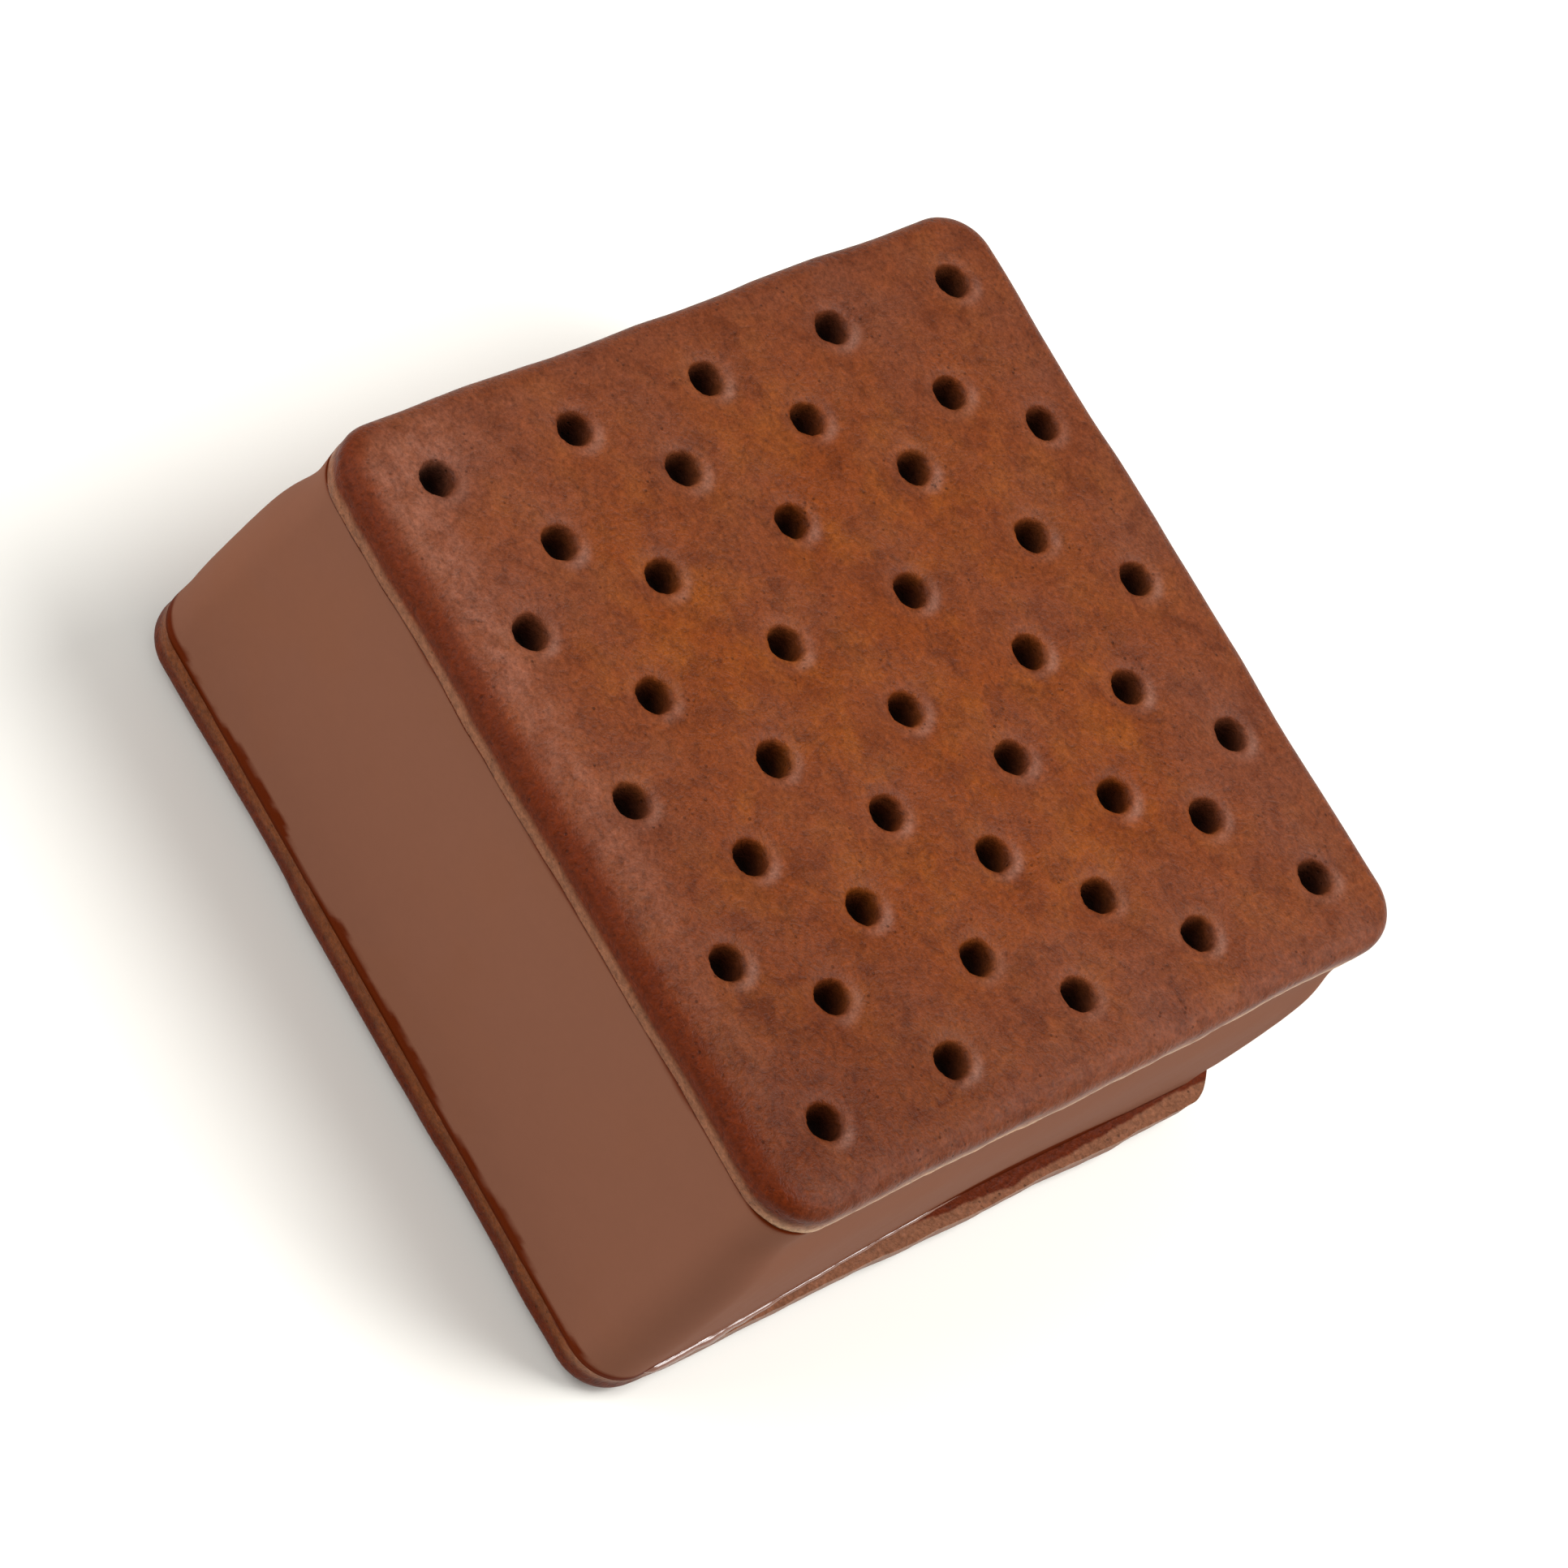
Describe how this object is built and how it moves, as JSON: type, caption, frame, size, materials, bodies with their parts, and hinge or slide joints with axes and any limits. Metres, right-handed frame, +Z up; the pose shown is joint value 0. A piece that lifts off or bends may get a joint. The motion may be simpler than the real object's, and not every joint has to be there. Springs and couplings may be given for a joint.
{
  "type": "ice cream sandwich",
  "caption": "Square block of chocolate ice cream held between two docked chocolate wafers with rounded corners, eaten by hand.",
  "frame": {"origin": "middle of the footprint, on the surface that the lower wafer rests on", "axes": "+Z up through the layers, +Y towards the back side, -Y towards the broad side that shows most"},
  "size_m": [0.0776, 0.0776, 0.0364],
  "materials": {
    "upper_wafer": "moist baked chocolate wafer, mottled, satin",
    "ice_cream": "smooth chocolate ice cream, soft sheen",
    "lower_wafer": "moist baked chocolate wafer, mottled, satin"
  },
  "bodies": {
    "root": {"wafer_top": "upper_wafer", "ice_cream": "ice_cream", "wafer_bottom": "lower_wafer"}
  },
  "joints": []
}
